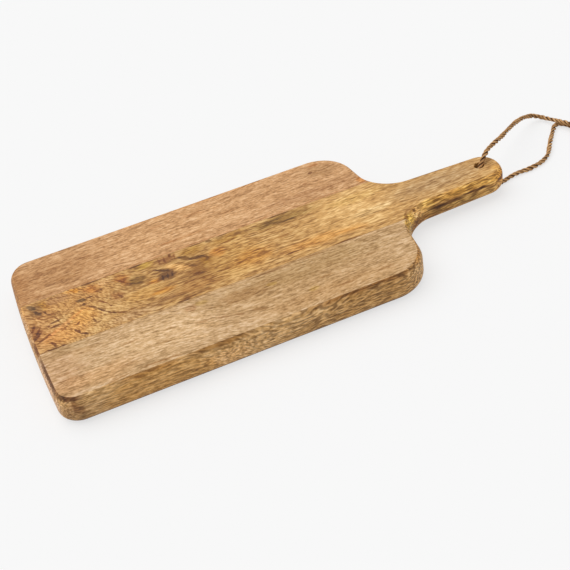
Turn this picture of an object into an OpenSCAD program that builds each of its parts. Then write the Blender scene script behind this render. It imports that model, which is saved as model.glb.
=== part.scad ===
// Paddle charcuterie board: three edge-glued staves, of which the middle one runs on as the handle,
// and a loop of twine tied through the hanging hole.
// +X runs along the board to the handle, +Y to its far edge and +Z up from the underside.
// The origin is the middle of the board's box, at the underside.

/* [Board] */
// Length of the serving area, from its bowed end to the shoulders
body_len = 304; // [240:1:380]
// Length of the handle, from the shoulders to its tip
handle_len = 112.5; // [98:0.5:160]
// Width of the stave on the far side
far_stave_w = 59.5; // [50:0.5:80]
// Width of the middle stave, which carries the handle
middle_stave_w = 64.5; // [50:0.5:80]
// Width of the stave on the near side
near_stave_w = 62; // [50:0.5:80]
// Thickness of the staves
board_t = 25; // [20:0.5:35]
// Thickness of the cured glue between two staves
glue_t = 0.2; // [0.1:0.05:0.4]

/* [Outline] */
// How far the middle of the end stands out past its corners
end_bow = 3.5; // [1:0.5:6]
// Radius of the two corners at the end
corner_r = 18; // [12:0.5:25]
// Radius of the two corners at the shoulders
shoulder_r = 33; // [15:0.5:36]
// How far the shoulders run on toward the handle between edge and neck
shoulder_slope = 8; // [4:0.5:16]
// Radius of the hollow where a shoulder turns into the handle
neck_r = 31; // [20:0.5:38]
// Width of the handle where its sides would meet the shoulders
neck_w = 43; // [38:0.5:50]
// Radius of the handle's round tip
tip_r = 18; // [14:0.5:19]

/* [Edges] */
// Radius of the rounding along the top edge
top_edge_r = 10.4; // [6:0.2:14]
// Angle at which that rounding meets the flat top, in a crease
top_crease = 40; // [30:1:60]
// Radius of the rounding along the bottom edge
bottom_edge_r = 7.5; // [5:0.5:10]

/* [Handle] */
// Height of the handle's underside above the surface that the board lies on
handle_lift = 4.3; // [4.2:0.1:6]
// Length of the slope from the underside of the board up to that of the handle
lift_run = 34; // [24:1:44]
// Diameter of the hanging hole
hole_d = 8; // [7.5:0.5:10]
// Distance from the tip of the handle to the middle of the hole
hole_inset = 18.5; // [16:0.5:24]
// How far the hole lies off the handle's middle line, toward the far edge
hole_side = 2; // [-4:0.5:4]
// Width of the eased edge round each mouth of the hole
hole_ease = 0.6; // [0.2:0.1:1]

/* [Twine] */
// Diameter of the twine
twine_d = 4; // [2.5:0.1:4.1]
// Diameter of the knot that closes the loop
knot_d = 9; // [8:0.5:11]
// Length of the knot
knot_len = 11; // [8:0.5:14]
// Length of the two loose ends behind the knot
tail_len = 14; // [6:1:24]

/* [Hidden] */
$fn = 96;

// Overall box
board_len = body_len + handle_len;
board_w = far_stave_w + middle_stave_w + near_stave_w + 2 * glue_t;
half_w = board_w / 2;
end_x = -board_len / 2;
tip_x = board_len / 2;
shoulder_x = end_x + body_len;

// Seams: the far and near staves reach in from the edges, and the middle one fills the rest
far_seam_y = half_w - far_stave_w - glue_t / 2;
near_seam_y = -half_w + near_stave_w + glue_t / 2;

// Bowed end: one wide arc, which runs into a corner at each side
bow_r = (half_w * half_w + end_bow * end_bow) / (2 * end_bow);
bow_c = [end_x + bow_r, 0];
corner_y = half_w - corner_r;
corner_c = [bow_c.x - sqrt(pow(bow_r - corner_r, 2) - corner_y * corner_y), corner_y];
corner_a = atan2(corner_y, corner_c.x - bow_c.x);

// Shoulder: the far edge turns by shoulder_a into the line that runs down to the neck
neck_p = [shoulder_x + shoulder_slope, neck_w / 2];
shoulder_a = atan2(half_w - neck_p.y, shoulder_slope);
shoulder_c = [shoulder_x - shoulder_r * tan(shoulder_a / 2), half_w - shoulder_r];

// Handle: its sides run from the neck to touch the round tip, at handle_a to the X axis
tip_c = [tip_x - tip_r, 0];
handle_a = asin(tip_r / norm(tip_c - neck_p)) - atan2(neck_p.y, tip_c.x - neck_p.x);

// Neck: the hollow that joins the shoulder's line to the handle's side
neck_cut = neck_r * tan((shoulder_a + handle_a) / 2);
neck_c = neck_p + neck_cut * [cos(handle_a), sin(handle_a)] + neck_r * [-sin(handle_a), cos(handle_a)];

// Steps along each arc of the outline and round each edge
bow_steps = 4;
corner_steps = 7;
shoulder_steps = 9;
neck_steps = 10;
tip_steps = 8;
edge_steps = 6;

hole_c = [tip_x - hole_inset, hole_side, 0];

// Where the knot's flat face takes both strands, measured from the hole's axis and up from the
// resting surface, and the way that the strands run into it
knot_p = [115.3, 26.9, 4.7];
knot_turn = -70;
knot_round = 2.5;
tail_gap = 4.4;
// How far the strand from above lies over the middle of that face, and to its side
strand_lift = 2.05;
strand_side = 0.45;
strand_p = [strand_side * sin(knot_turn), -strand_side * cos(knot_turn), strand_lift];

// Height of the middle of the twine where it lies on the resting surface
lie = twine_d / 2 + 0.1;
// Middle line of the twine, measured as the knot is: from the knot over the handle, down through
// the hole and back under the handle to the knot
route = [
    knot_p + strand_p, [113.2, 31.6, 6.6], [111, 37.6, 6.4], [108.2, 41.8, 6.3], [106, 46, 6.2],
    [103.4, 53.9, 4.9], [100.7, 61, 4], [95.7, 64.6, 5.2], [87.8, 63.1, 9.2], [72.1, 52.8, 17],
    [53.4, 37.7, 24], [34.3, 21.8, 29], [23.6, 14.4, 31], [15.3, 9.4, 31.6], [9.4, 5, 30.8],
    [4.2, 1.1, 28.2], [0.6, -0.4, 24], [-1.3, -0.7, 19], [-1.6, -0.4, 14], [-1.6, 0, 9.5],
    [-0.9, 0, 5.8], [1.6, 0, 3.2], [5.4, -0.2, lie + 0.05], [11.3, -1.5, lie], [20.2, -3.1, lie],
    [30.2, -0.4, lie], [39.8, 1, lie], [49.5, 0.9, lie], [62, 3.4, lie], [72.4, 9.1, lie],
    [78.7, 16.6, lie], [88.5, 29.4, lie], [98.9, 41.5, lie], [102.6, 45.3, lie], [106.4, 47, lie],
    [109.8, 45.2, lie], [112.2, 42.8, lie], [113.8, 38.9, lie + 0.1], [115, 33.2, lie + 0.4],
    knot_p - strand_p
];
route_steps = 2;
twine_sides = 8;
// A direction that no stretch of the twine runs along, from which its rings are turned
twine_ref = [0.12, 0.99, 0];

function unit(v) = v / norm(v);

function arc(c, r, from, to, steps) = [
    for (k = [0 : steps])
        let (a = from + (to - from) * k / steps)
        c + r * [cos(a), sin(a)]
];

// The outline's far half, drawn in by d, from the middle of the bowed end to the tip
function far_side(d) = concat(
    arc(bow_c, bow_r - d, 180, corner_a + (180 - corner_a) / bow_steps, bow_steps - 1),
    arc(corner_c, corner_r - d, corner_a, 90, corner_steps),
    arc(shoulder_c, shoulder_r - d, 90, 90 - shoulder_a, shoulder_steps),
    arc(neck_c, neck_r + d, -90 - shoulder_a, handle_a - 90, neck_steps),
    arc(tip_c, tip_r - d, 90 + handle_a, 0, tip_steps)
);

// Height of the underside: flat under the body, then a soft slope up to the handle
function underside(x) =
    let (t = min(max((x - shoulder_x) / lift_run, 0), 1))
    handle_lift * t * t * (3 - 2 * t);

// One closed ring of the form, drawn in by d, at a height above the underside or below the top
function form_ring(d, up, from_top) =
    let (far = far_side(d), n = len(far))
    [
        for (p = far) [p.x, p.y, from_top ? board_t - up : underside(p.x) + up],
        for (i = [n - 2 : -1 : 1])
            [far[i].x, -far[i].y, from_top ? board_t - up : underside(far[i].x) + up]
    ];

// The whole board as one form with rounded edges, which the seams then divide
module board_form() {
    rings = [
        for (k = [0 : edge_steps])
            let (a = 90 * k / edge_steps)
            form_ring(bottom_edge_r * (1 - sin(a)), bottom_edge_r * (1 - cos(a)), false),
        for (k = [0 : edge_steps])
            let (a = (90 - top_crease) * k / edge_steps)
            form_ring(top_edge_r * (1 - cos(a)), top_edge_r * (cos(top_crease) - sin(a)), true)
    ];
    n = len(rings[0]);
    last = (len(rings) - 1) * n;
    walls = [
        for (j = [0 : len(rings) - 2], i = [0 : n - 1])
            let (a = j * n + i, b = j * n + (i + 1) % n)
            each [[a, b, a + n], [b, b + n, a + n]]
    ];
    // Strips from side to side close the underside and the top
    strips = [
        for (i = [0 : n / 2 - 1])
            let (far = [i, i + 1], near = [(n - i) % n, n - i - 1])
            each [
                [near[0], near[1], far[1], far[0]],
                [last + far[0], last + far[1], last + near[1], last + near[0]]
            ]
    ];
    polyhedron([for (r = rings) each r], concat(walls, strips));
}

// The hanging hole with its two eased mouths
module hanging_hole() {
    translate(hole_c) {
        cylinder(h = 3 * board_t, d = hole_d, center = true);
        translate([0, 0, board_t - hole_ease])
            cylinder(h = 2 * hole_ease, d1 = hole_d, d2 = hole_d + 4 * hole_ease);
        translate([0, 0, handle_lift - hole_ease])
            cylinder(h = 2 * hole_ease, d1 = hole_d + 4 * hole_ease, d2 = hole_d);
    }
}

// What the board's form holds between two lines along it
module strip(from, to) {
    intersection() {
        board_form();
        translate([end_x - 1, from, -1])
            cube([board_len + 2, to - from, board_t + 2]);
    }
}

module stave_far() {
    color("tan")
        strip(far_seam_y + glue_t / 2, half_w + 1);
}

module stave_middle() {
    color("burlywood")
        difference() {
            strip(near_seam_y + glue_t / 2, far_seam_y - glue_t / 2);
            hanging_hole();
        }
}

module stave_near() {
    color("wheat")
        strip(-half_w - 1, near_seam_y - glue_t / 2);
}

module glue_line_far() {
    color("saddlebrown")
        strip(far_seam_y - glue_t / 2, far_seam_y + glue_t / 2);
}

module glue_line_near() {
    color("saddlebrown")
        strip(near_seam_y - glue_t / 2, near_seam_y + glue_t / 2);
}

// Point at t between b and c on the smooth curve through a, b, c and d
function blend(a, b, c, d, t) =
    0.5 * (2 * b + (c - a) * t + (2 * a - 5 * b + 4 * c - d) * t * t
        + (3 * b - a - 3 * c + d) * t * t * t);

function smooth_route(p, steps) = [
    for (i = [0 : len(p) - 2], k = [0 : steps - 1])
        blend(p[max(i - 1, 0)], p[i], p[i + 1], p[min(i + 2, len(p) - 1)], k / steps),
    p[len(p) - 1]
];

// The way the twine runs at point i; its two ends meet the knot square on
function heading(p, i) =
    i == 0 ? [-cos(knot_turn), -sin(knot_turn), 0]
    : i == len(p) - 1 ? [cos(knot_turn), sin(knot_turn), 0]
    : unit(p[i + 1] - p[i - 1]);

function twine_ring(p, i) =
    let (t = heading(p, i), u = unit(cross(t, twine_ref)), v = cross(t, u))
    [
        for (k = [0 : twine_sides - 1])
            let (a = 360 * k / twine_sides)
            p[i] + twine_d / 2 * (cos(a) * u + sin(a) * v)
    ];

module twine_loop() {
    path = smooth_route(route, route_steps);
    n = len(path);
    s = twine_sides;
    walls = [
        for (i = [0 : n - 2], k = [0 : s - 1])
            let (a = i * s + k, b = i * s + (k + 1) % s)
            each [[a, a + s, b], [b, a + s, b + s]]
    ];
    caps = [
        [for (k = [0 : s - 1]) k],
        [for (k = [s - 1 : -1 : 0]) (n - 1) * s + k]
    ];
    color("peru")
        translate(hole_c)
            polyhedron([for (i = [0 : n - 1]) each twine_ring(path, i)], concat(walls, caps));
}

// Half section of the knot: a short barrel with rounded rims
module knot_section() {
    intersection() {
        square([knot_d, knot_len]);
        union() {
            square([knot_d / 2 - knot_round, knot_len]);
            translate([0, knot_round])
                square([knot_d / 2, knot_len - 2 * knot_round]);
            for (y = [knot_round, knot_len - knot_round])
                translate([knot_d / 2 - knot_round, y])
                    circle(knot_round);
        }
    }
}

module twine_knot() {
    color("peru")
        translate(hole_c + knot_p)
            rotate([0, 90, knot_turn]) {
                rotate_extrude()
                    knot_section();
                for (side = [-1, 1])
                    translate([0, side * tail_gap / 2, knot_len - 1])
                        cylinder(h = tail_len + 1, d = twine_d);
            }
}

stave_far();
stave_middle();
stave_near();
glue_line_far();
glue_line_near();
twine_loop();
twine_knot();
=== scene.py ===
"""Looks of a paddle serving board: three glued staves and a tied loop of twine.

Lengths are in millimetres unless a name says otherwise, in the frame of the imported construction:
+X along the board to the tip of its handle, +Y to its far edge and +Z up from the surface it lies on.
"""

from __future__ import annotations

import logging
import math
from dataclasses import dataclass, field
from enum import Enum
from typing import Any, Mapping, Optional, Sequence, Union

import bmesh
import bpy
import numpy as np
from mathutils import Matrix, Vector

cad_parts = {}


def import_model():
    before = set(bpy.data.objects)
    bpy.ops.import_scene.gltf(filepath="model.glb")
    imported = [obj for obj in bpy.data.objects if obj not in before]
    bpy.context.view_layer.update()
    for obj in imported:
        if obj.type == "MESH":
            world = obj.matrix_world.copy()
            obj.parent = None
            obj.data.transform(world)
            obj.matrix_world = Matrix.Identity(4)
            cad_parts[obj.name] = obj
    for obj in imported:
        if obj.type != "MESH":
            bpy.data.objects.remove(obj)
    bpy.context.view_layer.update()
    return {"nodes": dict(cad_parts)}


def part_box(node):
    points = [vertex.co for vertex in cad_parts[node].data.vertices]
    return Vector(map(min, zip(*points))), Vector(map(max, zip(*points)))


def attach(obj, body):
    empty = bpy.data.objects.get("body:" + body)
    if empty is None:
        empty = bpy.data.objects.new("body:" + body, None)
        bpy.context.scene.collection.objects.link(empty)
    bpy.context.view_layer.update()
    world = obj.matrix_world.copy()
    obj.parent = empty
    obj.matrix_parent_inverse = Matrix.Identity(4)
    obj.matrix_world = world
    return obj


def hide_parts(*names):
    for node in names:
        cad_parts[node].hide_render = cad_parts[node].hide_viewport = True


LOG = logging.getLogger("serving_board")

MM = 0.001
# Height of the middle, and half of the depth, of a patch that runs down through the whole stave
THROUGH_Z = 20.0
THROUGH_DEPTH = 40.0
# The share of a stroke over which it fades out
FIRM_EDGE = 0.45

Array = np.ndarray
Skin = tuple[Array, Array, Array]
Colour = tuple[float, float, float]
Point = tuple[float, float, float]
Span = tuple[float, float]


class Sock:
    """One output of a shader node, which arithmetic extends with Math nodes."""

    def __init__(self, nodes: "Nodes", socket: bpy.types.NodeSocket) -> None:
        """Keeps the socket and the tree that it belongs to."""
        self.nodes = nodes
        self.socket = socket

    def __add__(self, other: "Value") -> "Sock":
        """The sum of both."""
        return self.nodes.math("ADD", self, other)

    __radd__ = __add__

    def __mul__(self, other: "Value") -> "Sock":
        """The product of both."""
        return self.nodes.math("MULTIPLY", self, other)

    __rmul__ = __mul__

    def __sub__(self, other: "Value") -> "Sock":
        """This less the other."""
        return self.nodes.math("SUBTRACT", self, other)

    def __rsub__(self, other: "Value") -> "Sock":
        """The other less this."""
        return self.nodes.math("SUBTRACT", other, self)

    def __truediv__(self, other: "Value") -> "Sock":
        """This over the other."""
        return self.nodes.math("DIVIDE", self, other)


Value = Union[Sock, float]


class Nodes:
    """A node tree, built up from expressions."""

    def __init__(self, tree: bpy.types.NodeTree) -> None:
        """Empties the tree and keeps it."""
        self.tree = tree
        self.tree.nodes.clear()

    def feed(self, socket: bpy.types.NodeSocket, value: Any) -> None:
        """Links or sets one input.

        Args:
            socket: The input.
            value: A Sock to link, or a number, vector or colour to set.
        """
        if isinstance(value, Sock):
            self.tree.links.new(value.socket, socket)
        elif socket.type == "RGBA" and len(value) == 3:
            socket.default_value = (*value, 1.0)
        else:
            socket.default_value = value

    def node(
        self,
        kind: str,
        settings: Optional[Mapping[str, Any]] = None,
        inputs: Optional[Mapping[Union[str, int], Any]] = None,
    ) -> bpy.types.Node:
        """Adds a node of any type.

        Args:
            kind: The node's type.
            settings: Its settings, set first.
            inputs: What each input is linked or set to, by name or number.

        Returns:
            The node.
        """
        node = self.tree.nodes.new(kind)
        for name, value in (settings or {}).items():
            setattr(node, name, value)
        for name, value in (inputs or {}).items():
            self.feed(node.inputs[name], value)
        return node

    def add(
        self,
        kind: str,
        settings: Optional[Mapping[str, Any]] = None,
        inputs: Optional[Mapping[Union[str, int], Any]] = None,
        out: Union[str, int] = 0,
    ) -> Sock:
        """Adds a node as node does, and gives back one of its outputs, by name or number."""
        return Sock(self, self.node(kind, settings, inputs).outputs[out])

    def ramp(self, value: Sock, stops: Sequence[float], colours: Sequence[Colour]) -> Sock:
        """A value turned into a colour, by a ramp that runs from colour to colour.

        Args:
            value: What it depends on.
            stops: The value at which each colour stands, at least two.
            colours: The colours.

        Returns:
            The colour.
        """
        node = self.node("ShaderNodeValToRGB", None, {"Fac": value})
        elements = node.color_ramp.elements
        while len(elements) < len(stops):
            elements.new(1.0)
        for element, stop, colour in zip(elements, stops, colours):
            element.position = stop
            element.color = (*colour, 1.0)
        return Sock(self, node.outputs[0])

    def math(self, operation: str, a: Value, b: Value = 0.0) -> Sock:
        """One Math node on two values."""
        return self.add("ShaderNodeMath", {"operation": operation}, {0: a, 1: b})

    def vector(self, x: Value, y: Value, z: Value) -> Sock:
        """Three values as one vector."""
        return self.add("ShaderNodeCombineXYZ", None, {0: x, 1: y, 2: z})

    def split(self, vector: Sock) -> tuple[Sock, Sock, Sock]:
        """The three parts of a vector."""
        outputs = self.node("ShaderNodeSeparateXYZ", None, {0: vector}).outputs
        return Sock(self, outputs[0]), Sock(self, outputs[1]), Sock(self, outputs[2])

    def noise(
        self,
        place: Sequence[Value],
        spot: Point,
        detail: float = 2.0,
        roughness: float = 0.5,
        out: str = "Fac",
    ) -> Sock:
        """A noise of about 0 to 1.

        Args:
            place: The three parts of the place that it depends on.
            spot: The length, width and depth of its spots.
            detail: How many finer octaves it has.
            roughness: How strong those are.
            out: The output to give back: Fac for one value or Color for three.

        Returns:
            The noise.
        """
        vector = self.vector(*(part / size for part, size in zip(place, spot)))
        return self.add(
            "ShaderNodeTexNoise",
            {"noise_dimensions": "3D"},
            {"Vector": vector, "Scale": 1.0, "Detail": detail, "Roughness": roughness},
            out,
        )

    def rise(self, value: Value, low: float, high: float, to_low: float = 0.0, to_high: float = 1.0) -> Sock:
        """A soft step from one value to another.

        Args:
            value: What it depends on.
            low: Where the step begins.
            high: Where it ends.
            to_low: What it gives up to there.
            to_high: What it gives from there on.

        Returns:
            The stepped value.
        """
        return self.add(
            "ShaderNodeMapRange",
            {"interpolation_type": "SMOOTHSTEP", "clamp": True},
            {"Value": value, "From Min": low, "From Max": high, "To Min": to_low, "To Max": to_high},
        )

    def nearness(self, vector: Sock, centre: Point, size: Point, turn: float = 0.0) -> Sock:
        """How near a place is to the middle of a spot: 1 there, falling evenly to 0 on the spot's edge.

        Args:
            vector: The place.
            centre: The middle of the spot.
            size: Half of its length, width and depth.
            turn: Degrees that it is turned about Z.

        Returns:
            The nearness.
        """
        angles = (0.0, 0.0, math.radians(turn))
        placed = self.add(
            "ShaderNodeMapping",
            {"vector_type": "TEXTURE"},
            {"Vector": vector, "Location": centre, "Rotation": angles, "Scale": size},
        )
        return self.add("ShaderNodeTexGradient", {"gradient_type": "SPHERICAL"}, {"Vector": placed}, "Fac")

    def mix(self, a: Any, b: Any, factor: Value, blend: str = "MIX") -> Sock:
        """Two colours mixed.

        Args:
            a: The first colour or its socket.
            b: The second one.
            factor: The share of the second.
            blend: The Mix node's blend type.

        Returns:
            The mixed colour.
        """
        return self.add(
            "ShaderNodeMix",
            {"data_type": "RGBA", "blend_type": blend, "clamp_result": False},
            {0: factor, 6: a, 7: b},
            2,
        )

    def tint(self, colour: Sock, tint: Colour, share: Value) -> Sock:
        """A colour multiplied by a tint, as far as the share says."""
        return self.mix(colour, tint, share, "MULTIPLY")


class Shader(Nodes):
    """A material with one Principled BSDF."""

    def __init__(self, name: str) -> None:
        """Starts the material.

        Args:
            name: The material's name.
        """
        self.material = bpy.data.materials.new(name)
        self.material.use_nodes = True
        super().__init__(self.material.node_tree)
        self.bsdf = self.node("ShaderNodeBsdfPrincipled")
        self.surface = Sock(self, self.bsdf.outputs[0])
        self.output = self.node("ShaderNodeOutputMaterial", None, {"Surface": self.surface})

    def place_mm(self) -> Sock:
        """The place on the object in millimetres."""
        coordinate = self.add("ShaderNodeTexCoord", None, None, "Object")
        return self.add("ShaderNodeVectorMath", {"operation": "SCALE"}, {0: coordinate, "Scale": 1.0 / MM})

    def dress(
        self, colour: Any, roughness: Any, height: Optional[Sock] = None, depth_mm: float = 0.0
    ) -> None:
        """Feeds the BSDF.

        Args:
            colour: Base Color.
            roughness: Roughness.
            height: A bump height of about 0 to 1.
            depth_mm: How deep that height is.
        """
        self.feed(self.bsdf.inputs["Base Color"], colour)
        self.feed(self.bsdf.inputs["Roughness"], roughness)
        if height is not None:
            relief = {"Strength": 1.0, "Distance": depth_mm * MM, "Height": height}
            bump = self.add("ShaderNodeBump", None, relief, "Normal")
            self.feed(self.bsdf.inputs["Normal"], bump)


@dataclass(frozen=True)
class Patch:
    """A spot in the wood with its own tint, which multiplies what is there."""

    centre: Point
    size: Point
    tint: Colour
    turn: float = 0.0
    soft: float = 0.7


@dataclass(frozen=True)
class Hill:
    """A place that the grain bends round: it pushes the grain aside by lift."""

    centre: Point
    size: Point
    lift: float
    turn: float = 0.0


@dataclass(frozen=True)
class Grain:
    """Length, width and depth of the spots of each noise in the wood."""

    sway: Point = (95.0, 42.0, 42.0)
    bands: Point = (240.0, 8.0, 8.0)
    mottle: Point = (20.0, 6.5, 6.5)
    streaks: Point = (30.0, 1.9, 1.9)
    fibres: Point = (8.0, 1.6, 1.4)
    specks: Point = (3.0, 1.5, 1.2)
    flecks: Point = (7.0, 1.4, 1.4)
    cuts: Point = (8.0, 1.1, 1.1)
    tears: Point = (15.0, 6.0, 6.0)
    frays: Point = (5.0, 4.0, 4.0)


@dataclass(frozen=True)
class WoodFinish:
    """An oiled stave: its colours, its grain and the spots that make it this stave.

    Patches are broad and have edges torn along the grain. Strokes are small and keep their shape.
    Crease shades are strokes of painted shade that only show where the flat top turns down into the side.
    A share says how far a noise counts. A step, turn, run or height says where something begins and where it
    is complete.
    """

    name: str
    dark: Colour
    middle: Colour
    light: Colour
    shift: Point
    tone_stops: Point = (0.04, 0.5, 0.96)
    grain: Grain = Grain()
    hills: tuple[Hill, ...] = ()
    slide: Optional[Point] = None
    patches: tuple[Patch, ...] = ()
    strokes: tuple[Patch, ...] = ()
    # Painted shade along the crease where the flat top turns down into the side
    crease_shades: tuple[Patch, ...] = ()
    pore: Colour = (0.5, 0.4, 0.29)
    wander: float = 6.0
    band_share: float = 0.5
    mottle_share: float = 0.8
    streak_share: float = 0.85
    fibre_share: float = 1.5
    speck_share: float = 1.15
    calm: float = 1.0
    calm_run: Span = (-20.0, 60.0)
    pore_share: float = 0.35
    pore_mottle_share: float = 0.35
    pore_step: Span = (0.54, 0.7)
    # Painted light: the tint of the sides against the top, standing in for the pale sheen on the top and the
    # light on the sides
    side_light_tint: Colour = (1.36, 1.3, 1.1)
    side_turn: Span = (0.85, 0.97)
    crease_turn: Span = (0.42, 0.6)
    crease_streak_share: float = 0.5
    dash: Colour = (0.26, 0.205, 0.14)
    dash_share: float = 0.78
    dash_mottle_share: float = 0.1
    dash_step: Span = (0.38, 0.66)
    # The dashes thin out toward the left end over this run, down to this share
    dash_fade_run: Span = (-110.0, 20.0)
    dash_fade_share: float = 0.65
    # Painted shadow at the foot of the sides: its tint, and the heights over which it fades out
    foot_shadow_tint: Colour = (0.4, 0.31, 0.24)
    foot_shadow_height: Span = (2.6, 5.4)
    force: float = 1.0
    torn_reach: Point = (16.0, 8.0, 8.0)
    frayed_reach: Point = (2.2, 1.2, 1.2)
    roughness: float = 0.55
    rough_streak_share: float = 0.2
    rough_pore_share: float = 0.1
    gloss: float = 0.3
    grain_depth: float = 0.1

    def material(self) -> bpy.types.Material:
        """Builds the wood.

        Bands, mottle, streaks, fibres and specks are noises drawn out along the bent grain, each finer than
        the one before. Their sum is the tone, from dark to light. The figure, the pores and the dark dashes
        on the sides then tint what lies in them. Painted light tints it as well: a tint on the sides by the
        way they face, painted shade along the crease and a painted shadow at the foot of the sides.

        Returns:
            The material.
        """
        shader = Shader(self.name)
        spots = self.grain
        place = shader.place_mm()
        plain_x, _, plain_z = shader.split(place)
        shifted = shader.add("ShaderNodeVectorMath", {"operation": "ADD"}, {0: place, 1: self.shift})
        own = shader.split(shifted)
        bent = self._bent(shader, place, own)
        upright = shader.split(shader.add("ShaderNodeNewGeometry", None, None, "Normal"))[2]
        side = shader.rise(upright, *self.side_turn, 1.0, 0.0)
        bands = shader.noise(bent, spots.bands) - 0.5
        mottle = shader.noise(bent, spots.mottle, 3.0, 0.6) - 0.5
        streaks = shader.noise(bent, spots.streaks, 2.0, 0.6) - 0.5
        fibres = shader.noise(bent, spots.fibres, 1.0, 0.6) - 0.5
        specks = shader.noise(bent, spots.specks, 1.0, 0.6) - 0.5
        fine = streaks * self.streak_share + fibres * self.fibre_share + specks * self.speck_share
        fine = fine * shader.rise(plain_x, *self.calm_run, 1.0, self.calm)
        tone = fine + bands * self.band_share + mottle * self.mottle_share + 0.5
        colour = shader.ramp(tone, self.tone_stops, (self.dark, self.middle, self.light))
        torn = self._moved(shader, place, bent, spots.tears, self.torn_reach)
        for patch in self.patches:
            colour = shader.tint(colour, self._forced(patch.tint), self._mask(shader, torn, patch))
        frayed = self._moved(shader, place, own, spots.frays, self.frayed_reach)
        for stroke in self.strokes:
            colour = shader.tint(colour, self._forced(stroke.tint), self._mask(shader, frayed, stroke))
        # Painted shade along the crease, where the flat top turns down into the side
        uneven = upright + streaks * self.crease_streak_share
        turning = shader.rise(uneven, *self.crease_turn) * side
        for mark in self.crease_shades:
            colour = shader.tint(colour, mark.tint, self._mask(shader, frayed, mark) * turning)
        # Painted light: the sides get their own tint by the way the surface faces, standing in for the pale
        # sheen on the top and the light on the sides
        colour = shader.tint(colour, self.side_light_tint, side)
        # Painted shadow: the sides darken towards the bottom edge, where the board meets the floor
        foot = shader.rise(plain_z, *self.foot_shadow_height, 1.0, 0.0)
        colour = shader.tint(colour, self.foot_shadow_tint, foot * side)
        flecks = shader.noise(bent, spots.flecks, 1.0, 0.6) + mottle * self.pore_mottle_share
        pores = shader.rise(flecks, *self.pore_step)
        colour = shader.tint(colour, self.pore, pores * self.pore_share)
        cuts = shader.noise(bent, spots.cuts, 0.0) + mottle * self.dash_mottle_share
        dashes = shader.rise(cuts, *self.dash_step) * side
        # Fewer dashes toward the left end, so the sides are darker toward the right
        dash_fade = shader.rise(plain_x, *self.dash_fade_run, self.dash_fade_share * self.dash_share, self.dash_share)
        colour = shader.tint(colour, self.dash, dashes * dash_fade)
        rough = self.roughness + streaks * self.rough_streak_share + pores * self.rough_pore_share
        shader.dress(colour, rough, (streaks + bands) * 0.5 - pores, self.grain_depth)
        shader.bsdf.inputs["Specular IOR Level"].default_value = self.gloss
        return shader.material

    def _bent(self, shader: Shader, place: Sock, own: Sequence[Sock]) -> tuple[Sock, Sock, Sock]:
        """The place as the grain counts it, so that the fibres wander and bend round the hills.

        Y and Z are pushed about by a slow noise, by a slide from one X to another and by the hills.

        Args:
            shader: The material's shader.
            place: The place in millimetres.
            own: The three parts of the place, shifted to the stave's own stretch of noise.

        Returns:
            The three parts of the bent place.
        """
        x, y, z = own
        push = (shader.noise(own, self.grain.sway) - 0.5) * (2.0 * self.wander)
        if self.slide is not None:
            start, stop, drop = self.slide
            push = push + shader.rise(x, start + self.shift[0], stop + self.shift[0], 0.0, drop)
        for hill in self.hills:
            near = shader.nearness(place, hill.centre, hill.size, hill.turn)
            push = push + shader.rise(near, 0.0, 1.0, 0.0, hill.lift)
        return x, y + push, z + push * 0.6

    def _forced(self, tint: Colour) -> Colour:
        """A tint drawn away from plain white by the finish's force."""
        return (tint[0] ** self.force, tint[1] ** self.force, tint[2] ** self.force)

    @staticmethod
    def _mask(shader: Shader, place: Sock, patch: Patch) -> Sock:
        """How far a place belongs to a patch: 1 in its middle, falling to 0 on its edge.

        Args:
            shader: The material's shader.
            place: The place in millimetres.
            patch: The patch.

        Returns:
            The share.
        """
        near = shader.nearness(place, patch.centre, patch.size, patch.turn)
        return shader.rise(near, 0.0, patch.soft)

    @staticmethod
    def _moved(shader: Shader, place: Sock, parts: Sequence[Sock], spot: Point, reach: Point) -> Sock:
        """A place moved about by noise, which makes the edges of the patches uneven.

        Args:
            shader: The material's shader.
            place: The place in millimetres.
            parts: The same place in three parts, as the noise reads it.
            spot: The size of the noise's spots.
            reach: How far the noise moves the place at most, along each axis.

        Returns:
            The moved place.
        """
        noise = shader.noise(parts, spot, 3.0, 0.6, "Color")
        whole = {0: noise, 1: tuple(2.0 * part for part in reach), 2: place}
        moved = shader.add("ShaderNodeVectorMath", {"operation": "MULTIPLY_ADD"}, whole)
        return shader.add("ShaderNodeVectorMath", {"operation": "SUBTRACT"}, {0: moved, 1: reach})


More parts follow.
